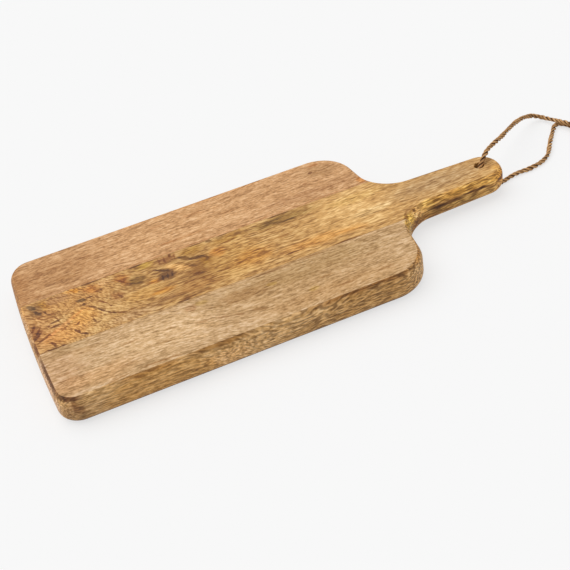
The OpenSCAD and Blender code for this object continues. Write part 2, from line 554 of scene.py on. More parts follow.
@dataclass
class Plan:
    """The board's outline seen from above, as arcs and the straight runs between them.

    The far half runs from the middle of the bowed end round the far edge to the tip of the handle. The near
    half mirrors it. Every arc can be drawn in by an inset, which is how the rounded edges are made.
    """

    end_x: float
    tip_x: float
    half_w: float
    body_len: float = 304.0
    end_bow: float = 3.5
    corner_r: float = 18.0
    shoulder_r: float = 33.0
    shoulder_slope: float = 8.0
    neck_r: float = 31.0
    neck_w: float = 43.0
    tip_r: float = 18.0
    arc_points: tuple[int, ...] = (80, 40, 50, 50, 60)
    run_points: tuple[int, ...] = (1, 160, 40, 50)

    @property
    def shoulder_x(self) -> float:
        """Where the serving area ends and the handle begins."""
        return self.end_x + self.body_len

    def far_side(self, inset: Array) -> Array:
        """The far half at several insets.

        Five arcs lead from the bowed end over the corner, the shoulder and the hollow neck to the tip. Each
        is in line with the straight run between it and the next. An inset takes from the radius of every arc
        but the neck's, which it adds to.

        Args:
            inset: How far each line is drawn in, of shape (levels,).

        Returns:
            Points of shape (levels, points, 2), alike in number and order at each level.
        """
        bow_r = (self.half_w**2 + self.end_bow**2) / (2.0 * self.end_bow)
        bow_c = np.array((self.end_x + bow_r, 0.0))
        corner_y = self.half_w - self.corner_r
        corner_c = np.array((bow_c[0] - math.sqrt((bow_r - self.corner_r) ** 2 - corner_y**2), corner_y))
        corner_a = math.degrees(math.atan2(corner_y, corner_c[0] - bow_c[0]))
        neck_p = np.array((self.shoulder_x + self.shoulder_slope, self.neck_w / 2.0))
        shoulder_a = math.degrees(math.atan2(self.half_w - neck_p[1], self.shoulder_slope))
        shoulder_c = np.array(
            (
                self.shoulder_x - self.shoulder_r * math.tan(math.radians(shoulder_a / 2.0)),
                self.half_w - self.shoulder_r,
            )
        )
        tip_c = np.array((self.tip_x - self.tip_r, 0.0))
        handle_a = math.degrees(
            math.asin(self.tip_r / float(np.linalg.norm(tip_c - neck_p)))
            - math.atan2(neck_p[1], tip_c[0] - neck_p[0])
        )
        turn = math.radians(handle_a)
        neck_cut = self.neck_r * math.tan(math.radians((shoulder_a + handle_a) / 2.0))
        neck_c = (
            neck_p
            + neck_cut * np.array((math.cos(turn), math.sin(turn)))
            + self.neck_r * np.array((-math.sin(turn), math.cos(turn)))
        )
        shapes = (
            (bow_c, bow_r - inset, 180.0, corner_a),
            (corner_c, self.corner_r - inset, corner_a, 90.0),
            (shoulder_c, self.shoulder_r - inset, 90.0, 90.0 - shoulder_a),
            (neck_c, self.neck_r + inset, -90.0 - shoulder_a, handle_a - 90.0),
            (tip_c, self.tip_r - inset, 90.0 + handle_a, 0.0),
        )
        arcs = [self._arc(*shape, count) for shape, count in zip(shapes, self.arc_points)]
        runs = [arcs[0][:, :-1]]
        for before, after, count in zip(arcs, arcs[1:], self.run_points):
            runs.append(self._run(before[:, -1], after[:, 0], count))
            runs.append(after[:, :-1])
        return np.concatenate([*runs, arcs[-1][:, -1:]], axis=1)

    @staticmethod
    def _arc(centre: Array, radius: Array, start: float, stop: float, count: int) -> Array:
        """An arc about a centre at several radii.

        Args:
            centre: Its centre.
            radius: One radius for each level.
            start: The angle that it starts at, in degrees.
            stop: The angle that it ends at.
            count: How many points it has.

        Returns:
            Points of shape (levels, count, 2).
        """
        angle = np.radians(np.linspace(start, stop, count))
        return centre + radius[:, None, None] * np.stack([np.cos(angle), np.sin(angle)], axis=-1)

    @staticmethod
    def _run(start: Array, stop: Array, count: int) -> Array:
        """A straight run at every level, with its last point left out.

        Args:
            start: Where it starts, of shape (levels, 2).
            stop: Where it ends.
            count: How many points it has.

        Returns:
            Points of shape (levels, count, 2).
        """
        share = np.linspace(0.0, 1.0, count, endpoint=False)[None, :, None]
        return start[:, None] * (1.0 - share) + stop[:, None] * share


@dataclass
class Section:
    """The board's edge seen along the outline: a rounded bottom, a wall and a top eased to a crease."""

    thick: float
    shoulder_x: float
    top_r: float = 10.4
    crease: float = 40.0
    bottom_r: float = 7.5
    handle_lift: float = 4.3
    lift_run: float = 34.0
    round_steps: int = 12
    wall_steps: int = 5

    def levels(self) -> tuple[Array, Array, Array]:
        """The edge from the bottom up.

        A point's height is follow times the height of the underside there, plus rise.

        Returns:
            The inset, follow and rise of each level.
        """
        low = np.linspace(0.0, math.pi / 2.0, self.round_steps)
        high = np.linspace(0.0, math.radians(90.0 - self.crease), self.round_steps)
        share = np.linspace(0.0, 1.0, self.wall_steps + 2)[1:-1]
        wall_top = self.thick - self.top_r * math.sin(high[-1])
        inset = np.concatenate(
            [self.bottom_r * (1.0 - np.sin(low)), 0.0 * share, self.top_r * (1.0 - np.cos(high))]
        )
        follow = np.concatenate([np.ones_like(low), 1.0 - share, np.zeros_like(high)])
        rise = np.concatenate(
            [
                self.bottom_r * (1.0 - np.cos(low)),
                (1.0 - share) * self.bottom_r + share * wall_top,
                wall_top + self.top_r * np.sin(high),
            ]
        )
        return inset, follow, rise

    def underside(self, x: Array) -> Array:
        """Height of the underside: flat under the body, then a soft slope up to the handle.

        Args:
            x: Places along the board.

        Returns:
            The heights there.
        """
        share = np.clip((x - self.shoulder_x) / self.lift_run, 0.0, 1.0)
        return self.handle_lift * share**2 * (3.0 - 2.0 * share)


def lengths(path: Array) -> Array:
    """The distance along a path at each of its points."""
    return np.concatenate([[0.0], np.cumsum(np.linalg.norm(np.diff(path, axis=0), axis=1))])


def mesh_object(
    name: str, points: Array, faces: Sequence[Sequence[int]], loops: Optional[Array] = None
) -> bpy.types.Object:
    """Makes an object from arrays, in metres, at the origin.

    Args:
        name: The object's name.
        points: Its points in millimetres, of shape (n, 3).
        faces: Its faces as lists of point numbers.
        loops: UV places of each face corner, of shape (corners, 2).

    Returns:
        The object, linked to the scene.
    """
    mesh = bpy.data.meshes.new(name)
    mesh.from_pydata((points * MM).tolist(), [], faces)
    if loops is not None:
        layer = mesh.uv_layers.new(name="UVMap")
        layer.data.foreach_set("uv", loops.astype(np.float32).ravel())
    mesh.update()
    thing = bpy.data.objects.new(name, mesh)
    bpy.context.scene.collection.objects.link(thing)
    return thing


def grid_faces(rows: int, columns: int, closed: bool) -> Array:
    """Faces of a grid of points that is counted row by row.

    Args:
        rows: How many rows it has.
        columns: How many points a row has.
        closed: Whether each row closes on itself.

    Returns:
        Quads of shape (faces, 4).
    """
    row, column = np.meshgrid(
        np.arange(rows - 1), np.arange(columns if closed else columns - 1), indexing="ij"
    )
    after = (column + 1) % columns
    here, there = row * columns, (row + 1) * columns
    return np.stack([here + column, there + column, there + after, here + after], axis=-1).reshape(-1, 4)


def weld(thing: bpy.types.Object, sharp_degrees: float, smallest: float = 1e-6) -> None:
    """Merges doubled points, turns the faces outward and shades all but sharp edges smooth.

    Args:
        thing: The object.
        sharp_degrees: The angle from which an edge stays sharp.
        smallest: Points nearer than this, in metres, are merged.
    """
    work = bmesh.new()
    work.from_mesh(thing.data)
    bmesh.ops.remove_doubles(work, verts=work.verts, dist=smallest)
    bmesh.ops.dissolve_degenerate(work, edges=work.edges, dist=smallest)
    bmesh.ops.recalc_face_normals(work, faces=work.faces)
    work.to_mesh(thing.data)
    work.free()
    thing.data.shade_smooth()
    thing.data.set_sharp_from_angle(angle=math.radians(sharp_degrees))


class Edge(Enum):
    """What a long side of a stave is."""

    OUTLINE = "outline"
    SEAM = "seam"


@dataclass
class Stave:
    """One stave of the board, between two lines along it.

    Its skin is a grid. One way runs along the stave from end to end. The other runs round it: up its far
    side, over the top, down its near side and back under the bottom.
    """

    node: str
    plan: Plan
    section: Section
    finish: WoodFinish
    far_y: float
    near_y: float
    far_edge: Edge
    near_edge: Edge
    along: int = 380
    flat_steps: int = 16
    hole: Optional["HangingHole"] = None

    def build(self) -> bpy.types.Object:
        """Makes the stave, dresses it and lets it stand for its solid.

        Returns:
            The stave.
        """
        far = self._side(self.far_y, self.far_edge, self.near_y, 1.0)
        near = self._side(self.near_y, self.near_edge, self.far_y, -1.0)
        share = np.linspace(0.0, 1.0, self.flat_steps)[1:-1, None, None]
        top = far[-1] * (1.0 - share) + near[-1] * share
        bottom = near[0] * (1.0 - share) + far[0] * share
        _, follow, rise = self.section.levels()
        bottom[..., 2] = self.section.underside(bottom[..., 0]) * follow[0] + rise[0]
        skin = np.concatenate([far, top, near[::-1], bottom]).transpose(1, 0, 2)
        faces = grid_faces(skin.shape[0], skin.shape[1], closed=True)
        stave = mesh_object(self.node + "_shaped", skin.reshape(-1, 3), faces.tolist())
        weld(stave, sharp_degrees=180.0)
        if self.hole is not None:
            self.hole.cut(stave)
        weld(stave, sharp_degrees=15.0)
        stave.data.materials.clear()
        stave.data.materials.append(self.finish.material())
        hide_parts(self.node)
        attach(stave, "board")
        return stave

    def _side(self, own: float, edge: Edge, other: float, sign: float) -> Array:
        """One long side of the stave, from the bottom level up.

        An outline side runs along the board's edge, between the two places where it meets the stave's seam.
        A seam side is a plane. On a stave with two seams, it goes on from the plane round both ends to the
        board's middle line.

        Args:
            own: This side's Y, where it is a seam.
            edge: What this side is.
            other: The other side's Y.
            sign: 1 on the far half of the outline and -1 on the near half.

        Returns:
            Points of shape (levels, along, 3).
        """
        inset, follow, rise = self.section.levels()
        lines = self.plan.far_side(inset)
        start, stop = self._crossings(lines, abs(other if edge is Edge.OUTLINE else own))
        if edge is Edge.OUTLINE:
            flat = self._between(lines, start, stop, self.along)
        else:
            whole = self._ends_in_middle()
            head, seam, tail = self._shares(lines, start, stop) if whole else (0, self.along, 0)
            share = np.linspace(0.0, 1.0, seam)[None, :, None]
            first, final = (self._between(lines, end, end, 1) for end in (start, stop))
            flat = first * (1.0 - share) + final * share
            if whole:
                zero = np.zeros_like(start)
                last = zero + lines.shape[1] - 1.0
                before = self._between(lines, zero, start, head + 1)[:, :-1]
                after = self._between(lines, stop, last, tail + 1)[:, 1:]
                flat = np.concatenate([before, flat, after], axis=1)
        x, y = flat[..., 0], sign * flat[..., 1]
        if edge is Edge.SEAM and not self._ends_in_middle():
            y = np.full_like(y, own)
        z = follow[:, None] * self.section.underside(x) + rise[:, None]
        return np.stack([x, y, z], axis=-1)

    def _ends_in_middle(self) -> bool:
        """Whether both long sides are seams, so that the ends are the board's own."""
        return self.far_edge is Edge.SEAM and self.near_edge is Edge.SEAM

    @staticmethod
    def _crossings(lines: Array, y: float) -> tuple[Array, Array]:
        """Where each line of the far half crosses a line along the board.

        Args:
            lines: The far half at several insets.
            y: The distance of that line from the middle.

        Returns:
            The places, as point numbers with a fraction, at the bowed end and at the neck.
        """
        before = lines[:, :-1, 1]
        after = lines[:, 1:, 1]
        share = (y - before) / np.where(after == before, 1.0, after - before)
        rows = np.arange(len(lines))
        up = np.argmax((before < y) & (after >= y), axis=1)
        down = lines.shape[1] - 2 - np.argmax(((before >= y) & (after < y))[:, ::-1], axis=1)
        return up + share[rows, up], down + share[rows, down]

    @staticmethod
    def _between(lines: Array, start: Array, stop: Array, count: int) -> Array:
        """Points spread evenly along the middle level's stretch, and alike along the others.

        Args:
            lines: The far half at several insets.
            start: Where the stretch starts on each line.
            stop: Where it ends.
            count: How many points it gets.

        Returns:
            Points of shape (levels, count, 2).
        """
        middle = len(lines) // 2
        length = lengths(lines[middle])
        numbers = np.arange(len(length))
        ends = np.interp([start[middle], stop[middle]], numbers, length)
        place = np.interp(np.linspace(ends[0], ends[1], count), length, numbers)
        span = stop[middle] - start[middle]
        share = (place - start[middle]) / span if span > 0.0 else np.zeros(count)
        where = start[:, None] + share[None] * (stop - start)[:, None]
        number = np.clip(where.astype(int), 0, lines.shape[1] - 2)
        part = (where - number)[..., None]
        rows = np.arange(len(lines))[:, None]
        return lines[rows, number] * (1.0 - part) + lines[rows, number + 1] * part

    def _shares(self, lines: Array, start: Array, stop: Array) -> tuple[int, int, int]:
        """How many points the end, the seam and the handle get, by their lengths.

        Args:
            lines: The far half at several insets.
            start: Where each line meets the seam at the end.
            stop: Where it meets the seam at the neck.

        Returns:
            The three counts, which make up the whole.
        """
        middle = len(lines) // 2
        length = lengths(lines[middle])
        first, final = np.interp([start[middle], stop[middle]], np.arange(len(length)), length)
        seam = self.plan.shoulder_x - self.plan.end_x
        parts = np.array((first, seam, length[-1] - final))
        head, _, tail = np.round(parts / parts.sum() * self.along).astype(int)
        return int(head), int(self.along - head - tail), int(tail)


@dataclass
class HangingHole:
    """The hole through the handle, with softly eased mouths."""

    centre: Point
    top: float
    bottom: float
    radius: float = 4.0
    ease: float = 0.9
    ease_steps: int = 7
    around: int = 64
    past: float = 6.0

    def cut(self, stave: bpy.types.Object) -> None:
        """Cuts the hole: a revolved profile, flared at both mouths, is taken out of the stave.

        Args:
            stave: The stave to cut.
        """
        bend = np.linspace(0.0, math.pi / 2.0, self.ease_steps)
        flare = self.ease * (1.0 - np.cos(bend))
        rise = self.ease * np.sin(bend)
        radius = self.radius + np.concatenate([[flare[-1]], flare[::-1], flare, [flare[-1]]])
        height = np.concatenate(
            [
                [self.bottom - self.past],
                self.bottom + self.ease - rise[::-1],
                self.top - self.ease + rise,
                [self.top + self.past],
            ]
        )
        turn = np.linspace(0.0, 2.0 * math.pi, self.around, endpoint=False)
        ring = np.stack([np.cos(turn), np.sin(turn)], axis=-1)
        wall = np.concatenate(
            [
                np.array(self.centre[:2]) + radius[:, None, None] * ring[None],
                np.repeat(height[:, None, None], self.around, axis=1),
            ],
            axis=-1,
        )
        faces = grid_faces(len(radius), self.around, closed=True).tolist()
        last = (len(radius) - 1) * self.around
        faces += [list(range(start, start + self.around)) for start in (0, last)]
        cutter = mesh_object("hole_cutter", wall.reshape(-1, 3), faces)
        weld(cutter, sharp_degrees=180.0)
        modifier = stave.modifiers.new("hole", "BOOLEAN")
        modifier.operation = "DIFFERENCE"
        modifier.solver = "EXACT"
        modifier.object = cutter
        bpy.context.view_layer.update()
        whole = stave.evaluated_get(bpy.context.evaluated_depsgraph_get())
        cut = bpy.data.meshes.new_from_object(whole)
        stave.modifiers.clear()
        spent = (stave.data, cutter.data)
        stave.data = cut
        bpy.data.objects.remove(cutter)
        for mesh in spent:
            bpy.data.meshes.remove(mesh)


@dataclass(frozen=True)
class JuteFinish:
    """Twisted jute: tan fibres along each ply, with painted shade between them."""

    name: str = "jute"
    dark: Colour = (0.15, 0.062, 0.018)
    middle: Colour = (0.52, 0.272, 0.097)
    light: Colour = (0.92, 0.6, 0.3)
    # Painted shade in the grooves between the plies
    groove: Colour = (0.2, 0.13, 0.075)
    fibre_spot: Point = (4.5, 1.0 / 7.0, 1.0)
    tone_spot: Point = (9.0, 1.25, 1.0)
    tone_stops: Point = (0.1, 0.5, 0.9)
    fibre_share: float = 1.5
    tone_share: float = 1.1
    groove_shade_turn: Span = (-0.1, 0.85)
    roughness: float = 0.85
    fibre_depth: float = 0.25

    def material(self) -> bpy.types.Material:
        """Builds the jute: noise drawn out along the ply, on the piece's own UV map.

        V counts turns round the ply from its outer side, so the cosine of that turn is low in the grooves
        between the plies. There the colour is darkened as painted shade.

        Returns:
            The material.
        """
        shader = Shader(self.name)
        uv = shader.add("ShaderNodeUVMap", {"uv_map": "UVMap"}, None, "UV")
        u, v, _ = shader.split(uv)
        fibres = shader.noise((u, v, 0.0), self.fibre_spot, 3.0, 0.65)
        tone = shader.noise((u, v, 3.0), self.tone_spot)
        value = 0.5 + (fibres - 0.5) * self.fibre_share + (tone - 0.5) * self.tone_share
        colour = shader.ramp(value, self.tone_stops, (self.dark, self.middle, self.light))
        crest = shader.math("COSINE", v * (2.0 * math.pi))
        # Painted shade: darker in the grooves between the plies
        colour = shader.tint(colour, self.groove, shader.rise(crest, *self.groove_shade_turn, 1.0, 0.0))
        shader.dress(colour, self.roughness, fibres, self.fibre_depth)
        return shader.material


@dataclass(frozen=True)
class Wave:
    """A slow wave along the twine, which begins later on each ply by the lag, in radians."""

    height: float
    run: float
    lag: float = 0.0

    def at(self, length: Array, ply: Union[Array, float] = 1.0) -> Array:
        """Its value at places along the twine: a sine that turns by one radian over its run."""
        return self.height * np.sin(length / self.run + self.lag * ply)


@dataclass(frozen=True)
class Fuzz:
    """The loose fibres on twine: how many there are and how they stand out.

    Rise, lean and twist are how far a fibre heads outward, along the twine and round it. Its root is a
    share of the twine's diameter from the middle line, and its tip is thinner than its root by the taper.
    """

    per_mm: float = 2.2
    longest: float = 1.3
    shortest_share: float = 0.35
    radius: float = 0.035
    taper: float = 0.75
    root: float = 0.42
    rise: float = 0.55
    lean: float = 1.6
    twist: float = 0.5
    bend: float = 0.45
    floor_gap: float = 0.1
    tone_step: float = 0.37


@dataclass
class Twine:
    """Jute twine of three plies, laid along a route."""

    diameter: float = 4.0
    plies: int = 3
    lay: float = 14.5
    sides: int = 10
    step: float = 0.8
    ply_fill: float = 1.06
    ply_shift: Span = (37.0, 2.0)
    floor_gap: float = 0.03
    lay_wave: Wave = Wave(0.25, 7.3, 2.1)
    thick_waves: tuple[Wave, ...] = (Wave(0.06, 6.1), Wave(0.05, 2.7, 1.0))
    ply_waves: tuple[Wave, ...] = (Wave(0.09, 3.1, 1.7), Wave(0.07, 1.3, 4.0))
    fuzz: Fuzz = Fuzz()

    def smooth(self, route: Array, steps: int = 12) -> Array:
        """The smooth curve through a route's points, spaced evenly.

        Args:
            route: Points of shape (n, 3).
            steps: Places worked out between two points.

        Returns:
            Points along the curve, step apart.
        """
        padded = np.concatenate([route[:1], route, route[-1:]])
        a, b, c, d = (padded[k : len(route) - 1 + k][:, None] for k in range(4))
        t = np.linspace(0.0, 1.0, steps, endpoint=False)[None, :, None]
        curve = 0.5 * (
            2.0 * b
            + (c - a) * t
            + (2.0 * a - 5.0 * b + 4.0 * c - d) * t**2
            + (3.0 * b - a - 3.0 * c + d) * t**3
        )
        curve = np.concatenate([curve.reshape(-1, 3), route[-1:]])
        length = lengths(curve)
        even = np.linspace(0.0, length[-1], int(round(length[-1] / self.step)) + 1)
        return np.stack([np.interp(even, length, curve[:, k]) for k in range(3)], axis=-1)

    @staticmethod
    def frames(path: Array, reference: Point = (0.12, 0.99, 0.0)) -> tuple[Array, Array, Array]:
        """Directions along and across a path, which turn no more than the path does.

        Across directions come from a fixed reference. The angle by which they turn about the path from one
        point to the next is summed up and taken out again.

        Args:
            path: Points of shape (n, 3).
            reference: A direction that no stretch of the path runs along.

        Returns:
            The direction along the path and the two across it.
        """
        along = np.gradient(path, axis=0)
        along /= np.linalg.norm(along, axis=1, keepdims=True)
        side = np.cross(along, np.array(reference))
        side /= np.linalg.norm(side, axis=1, keepdims=True)
        up = np.cross(along, side)
        carried = side[:-1] - along[1:] * np.sum(side[:-1] * along[1:], axis=1, keepdims=True)
        turn = np.arctan2(np.sum(carried * up[1:], axis=1), np.sum(carried * side[1:], axis=1))
        angle = np.concatenate([[0.0], np.cumsum(turn)])[:, None]
        return along, np.cos(angle) * side + np.sin(angle) * up, np.cos(angle) * up - np.sin(angle) * side

    def strand(self, path: Array, thin: Optional[Array] = None, phase: float = 0.0) -> Skin:
        """The plies along a path: circles carried along helices about it.

        Args:
            path: The middle line.
            thin: How thick the twine is at each point, as a share.
            phase: The turn of the first ply at the start.

        Returns:
            Points, faces and the UV place of each face corner. U is millimetres along it, V turns
            round the ply.
        """
        thin = np.ones(len(path)) if thin is None else thin
        length = lengths(path)
        along, side, up = self.frames(path)
        ply_r = self.diameter / 2.0 / (1.0 + 2.0 / math.sqrt(3.0))
        helix_r = ply_r * 2.0 / math.sqrt(3.0)
        ply = np.arange(self.plies)[:, None]
        angle = phase + 2.0 * math.pi * (length[None] / self.lay + ply / self.plies)
        # Slow waves, out of step with each other, make the lay and the thickness uneven
        angle = angle + self.lay_wave.at(length[None], ply)
        out = np.cos(angle)[..., None] * side + np.sin(angle)[..., None] * up
        about = np.cos(angle)[..., None] * up - np.sin(angle)[..., None] * side
        thin = thin * sum((wave.at(length) for wave in self.thick_waves), 1.0)
        centre = path + (helix_r * thin)[None, :, None] * out
        slope = 2.0 * math.pi * helix_r / self.lay
        heading = along[None] + slope * about
        heading /= np.linalg.norm(heading, axis=-1, keepdims=True)
        across = np.cross(heading, out)
        swell = sum((wave.at(length[None], ply) for wave in self.ply_waves), 1.0)
        round_a = np.linspace(0.0, 2.0 * math.pi, self.sides, endpoint=False)
        reach = (self.ply_fill * ply_r * thin * swell)[..., None, None]
        ring = np.cos(round_a)[:, None] * out[..., None, :]
        ring = ring + np.sin(round_a)[:, None] * across[..., None, :]
        points = centre[..., None, :] + reach * ring
        points[..., 2] = np.maximum(points[..., 2], self.floor_gap)
        count = len(path) * self.sides
        faces = grid_faces(len(path), self.sides, closed=True)
        u = np.repeat(length[:, None], self.sides + 1, axis=1)
        v = np.repeat(np.arange(self.sides + 1)[None] / self.sides, len(path), axis=0)
        corner = np.stack([u, v], axis=-1)
        four = [corner[:-1, :-1], corner[1:, :-1], corner[1:, 1:], corner[:-1, 1:]]
        uv = np.stack(four, axis=2).reshape(-1, 2)
        shifted = np.concatenate([uv + k * np.array(self.ply_shift) for k in range(self.plies)])
        faces = np.concatenate([faces + k * count for k in range(self.plies)])
        return points.reshape(-1, 3), faces, shifted

    def hairs(self, path: Array, seed: int) -> Skin:
        """Loose fibres: thin three-sided spikes that leave the twine at a slant and bend.

        Args:
            path: The middle line.
            seed: The seed of their places.

        Returns:
            Points, faces and UV places, as strand gives them.
        """
        fuzz = self.fuzz
        draw = np.random.default_rng(seed)
        count = int(lengths(path)[-1] * fuzz.per_mm)
        along, side, up = self.frames(path)
        station = draw.integers(1, len(path) - 1, count)
        angle = draw.uniform(0.0, 2.0 * math.pi, count)
        out = np.cos(angle)[:, None] * side[station] + np.sin(angle)[:, None] * up[station]
        lean = draw.uniform(-fuzz.lean, fuzz.lean, count)[:, None]
        twist = draw.uniform(-fuzz.twist, fuzz.twist, count)[:, None]
        about = np.cross(along[station], out)
        first = out * fuzz.rise + along[station] * lean + about * twist
        first /= np.linalg.norm(first, axis=1, keepdims=True)
        bend = draw.normal(0.0, fuzz.bend, (count, 3))
        long = fuzz.longest * draw.uniform(fuzz.shortest_share, 1.0, count)
        share = np.linspace(0.0, 1.0, 4)
        root = path[station] + out * (self.diameter * fuzz.root)
        middle = (
            root[:, None]
            + first[:, None] * (long[:, None] * share)[..., None]
            + bend[:, None] * (long[:, None] * share**2)[..., None]
        )
        middle[..., 2] = np.maximum(middle[..., 2], fuzz.floor_gap)
        thick = fuzz.radius * (1.0 - fuzz.taper * share)
        turn = np.array((0.0, 2.0, 4.0)) * math.pi / 3.0
        other = np.cross(first, about)
        ring = np.cos(turn)[:, None] * about[:, None] + np.sin(turn)[:, None] * other[:, None]
        points = middle[:, :, None] + thick[None, :, None, None] * ring[:, None]
        spike = grid_faces(len(share), len(turn), closed=True)
        starts = np.arange(count) * len(share) * len(turn)
        faces = (spike[None] + starts[:, None, None]).reshape(-1, 4)
        uv = np.repeat(station, spike.size)[:, None] * np.array((fuzz.tone_step, 0.0))
        return points.reshape(-1, 3), faces, uv


@dataclass
class HangingLoop:
    """The loop of twine through the handle's hole, and the knot that closes it.

    A tail of the knot is given by the side of the knot that its strand enters on, how far it spreads and
    how far it rises.
    """

    hole: Point
    twine: Twine = field(default_factory=Twine)
    finish: JuteFinish = field(default_factory=JuteFinish)
    knot_at: Point = (115.3, 26.9, 4.7)
    knot_turn: float = -70.0
    knot_len: float = 11.0
    knot_d: float = 9.0
    knot_wraps: float = 2.6
    wrap_inset: float = 1.9
    wrap_start: float = 0.6
    wrap_sink: float = 0.48
    wrap_tuck: float = 0.45
    tuck_rate: float = 7.0
    tail_len: float = 14.0
    tail_side: float = 1.2
    tails: tuple[Point, ...] = ((1.0, 3.4, -1.6), (-1.0, -2.6, -2.6))
    fray_swell: float = 0.28
    fray_run: float = 4.0
    strand_lift: float = 2.05
    strand_side: float = 0.45
    strand_pinch: float = 0.8
    seed: int = 11

    def route(self) -> Array:
        """The middle line from the knot over the handle, through its hole and back under it to the knot.

        Returns:
            Points of shape (n, 3), in the board's frame.
        """
        turn = math.radians(self.knot_turn)
        knot = np.array(self.knot_at)
        strand = np.array(
            (self.strand_side * math.sin(turn), -self.strand_side * math.cos(turn), self.strand_lift)
        )
        lie = self.twine.diameter / 2.0 + 0.1
        over = (
            (113.2, 31.6, 6.6), (111, 37.6, 6.4), (108.2, 41.8, 6.3), (106, 46, 6.2), (103.4, 53.9, 4.9),
            (100.7, 61, 4), (95.7, 64.6, 5.2), (87.8, 63.1, 9.2), (72.1, 52.8, 17), (53.4, 37.7, 24),
            (34.3, 21.8, 29), (23.6, 14.4, 31), (15.3, 9.4, 31.6), (9.4, 5, 30.8), (4.2, 1.1, 28.2),
        )
        through = (
            (0.6, -0.4, 24), (-1.3, -0.7, 19), (-1.6, -0.4, 14), (-1.6, 0, 9.5), (-0.9, 0, 5.8),
            (1.6, 0, 3.2), (5.4, -0.2, lie + 0.05),
        )
        under = (
            (11.3, -1.5, lie), (20.2, -3.1, lie), (30.2, -0.4, lie), (39.8, 1, lie), (49.5, 0.9, lie),
            (62, 3.4, lie), (72.4, 9.1, lie), (78.7, 16.6, lie), (88.5, 29.4, lie), (98.9, 41.5, lie),
            (102.6, 45.3, lie), (106.4, 47, lie), (109.8, 45.2, lie), (112.2, 42.8, lie),
            (113.8, 38.9, lie + 0.1), (115, 33.2, lie + 0.4),
        )
        points = np.array((knot + strand, *over, *through, *under, knot - strand))
        return points + np.array(self.hole)

    def build(self) -> list[bpy.types.Object]:
        """Returns:
            The loop and the knot.
        """
        jute = self.finish.material()
        path = self.twine.smooth(self.route())
        parts = [self.twine.strand(path), self.twine.hairs(path, self.seed)]
        loop = self._object("twine_loop_laid", parts, jute)
        knot = self._knot(jute)
        for piece, node in ((loop, "twine_loop"), (knot, "twine_knot")):
            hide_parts(node)
            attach(piece, "hanging_loop")
        return [loop, knot]

    @staticmethod
    def _object(name: str, parts: Sequence[Skin], material: bpy.types.Material) -> bpy.types.Object:
        """Joins strands and hairs in one object.

        Args:
            name: The object's name.
            parts: Points, faces and UV places of each.
            material: Its material.

        Returns:
            The object.
        """
        starts = np.cumsum([0, *(len(points) for points, _, _ in parts)])
        points = np.concatenate([part[0] for part in parts])
        faces = np.concatenate([part[1] + start for part, start in zip(parts, starts)])
        thing = mesh_object(name, points, faces.tolist(), np.concatenate([part[2] for part in parts]))
        thing.data.shade_smooth()
        thing.data.materials.append(material)
        return thing

    def _knot(self, jute: bpy.types.Material) -> bpy.types.Object:
        """The knot: both strands run on through it as short ends, and a few turns of twine wrap them.

        Args:
            jute: The twine's material.

        Returns:
            The knot.
        """
        turn = math.radians(self.knot_turn)
        ahead = np.array((math.cos(turn), math.sin(turn), 0.0))
        side = np.array((-math.sin(turn), math.cos(turn), 0.0))
        up = np.array((0.0, 0.0, 1.0))
        base = np.array(self.hole) + np.array(self.knot_at)
        share = np.linspace(0.0, 1.0, 90)
        angle = 2.0 * math.pi * self.knot_wraps * share + self.wrap_start
        radius = self.knot_d / 2.0 - self.wrap_sink * self.twine.diameter
        out = np.clip(np.minimum(share, 1.0 - share) * self.tuck_rate, 0.0, 1.0)
        radius = radius * (self.wrap_tuck + (1.0 - self.wrap_tuck) * out)
        place = self.wrap_inset + (self.knot_len - 2.0 * self.wrap_inset) * share
        wrap = (
            base
            + place[:, None] * ahead
            + (radius * np.cos(angle))[:, None] * side
            + (radius * np.sin(angle))[:, None] * up
        )
        wrap = self.twine.smooth(wrap, 3)
        parts = [self.twine.strand(wrap, phase=1.0), self.twine.hairs(wrap, self.seed + 1)]
        total = self.knot_len + self.tail_len
        along = np.linspace(0.0, total, 30)
        for sign, spread, climb in self.tails:
            in_knot = np.clip(along / self.knot_len, 0.0, 1.0)
            free = np.clip((along - self.knot_len) / self.tail_len, 0.0, 1.0)
            pinch = self.strand_lift - self.strand_pinch * np.sin(math.pi * in_knot)
            lift = sign * pinch * (1.0 - in_knot) + climb * free**1.5
            shift = -sign * self.strand_side * (1.0 - in_knot) + sign * self.tail_side * in_knot
            shift = shift + spread * free
            end = base + along[:, None] * ahead + shift[:, None] * side + lift[:, None] * up
            end = self.twine.smooth(end, 3)
            frayed = np.clip((lengths(end) - total + self.fray_run) / self.fray_run, 0.0, 1.0)
            fray = 1.0 + self.fray_swell * frayed**2
            parts.append(self.twine.strand(end, fray, phase=2.0 * sign))
            parts.append(self.twine.hairs(end, self.seed + 2 + int(sign)))
        return self._object("twine_knot_tied", parts, jute)


@dataclass(frozen=True)
class GlueFinish:
    """Cured glue: a thin dark line."""

    name: str = "glue"
    dark: Colour = (0.16, 0.085, 0.035)
    light: Colour = (0.36, 0.21, 0.09)
    spot: Point = (14.0, 14.0, 8.0)
    spot_step: Span = (0.4, 0.62)
    roughness: float = 0.6
    rough_spot_share: float = 0.1

    def material(self) -> bpy.types.Material:
        """Builds the glue: it shows dark in some places and hardly at all in others.

        Returns:
            The material.
        """
        shader = Shader(self.name)
        spots = shader.noise(shader.split(shader.place_mm()), self.spot, 3.0)
        colour = shader.mix(self.dark, self.light, shader.rise(spots, *self.spot_step))
        shader.dress(colour, self.roughness + spots * self.rough_spot_share)
        return shader.material


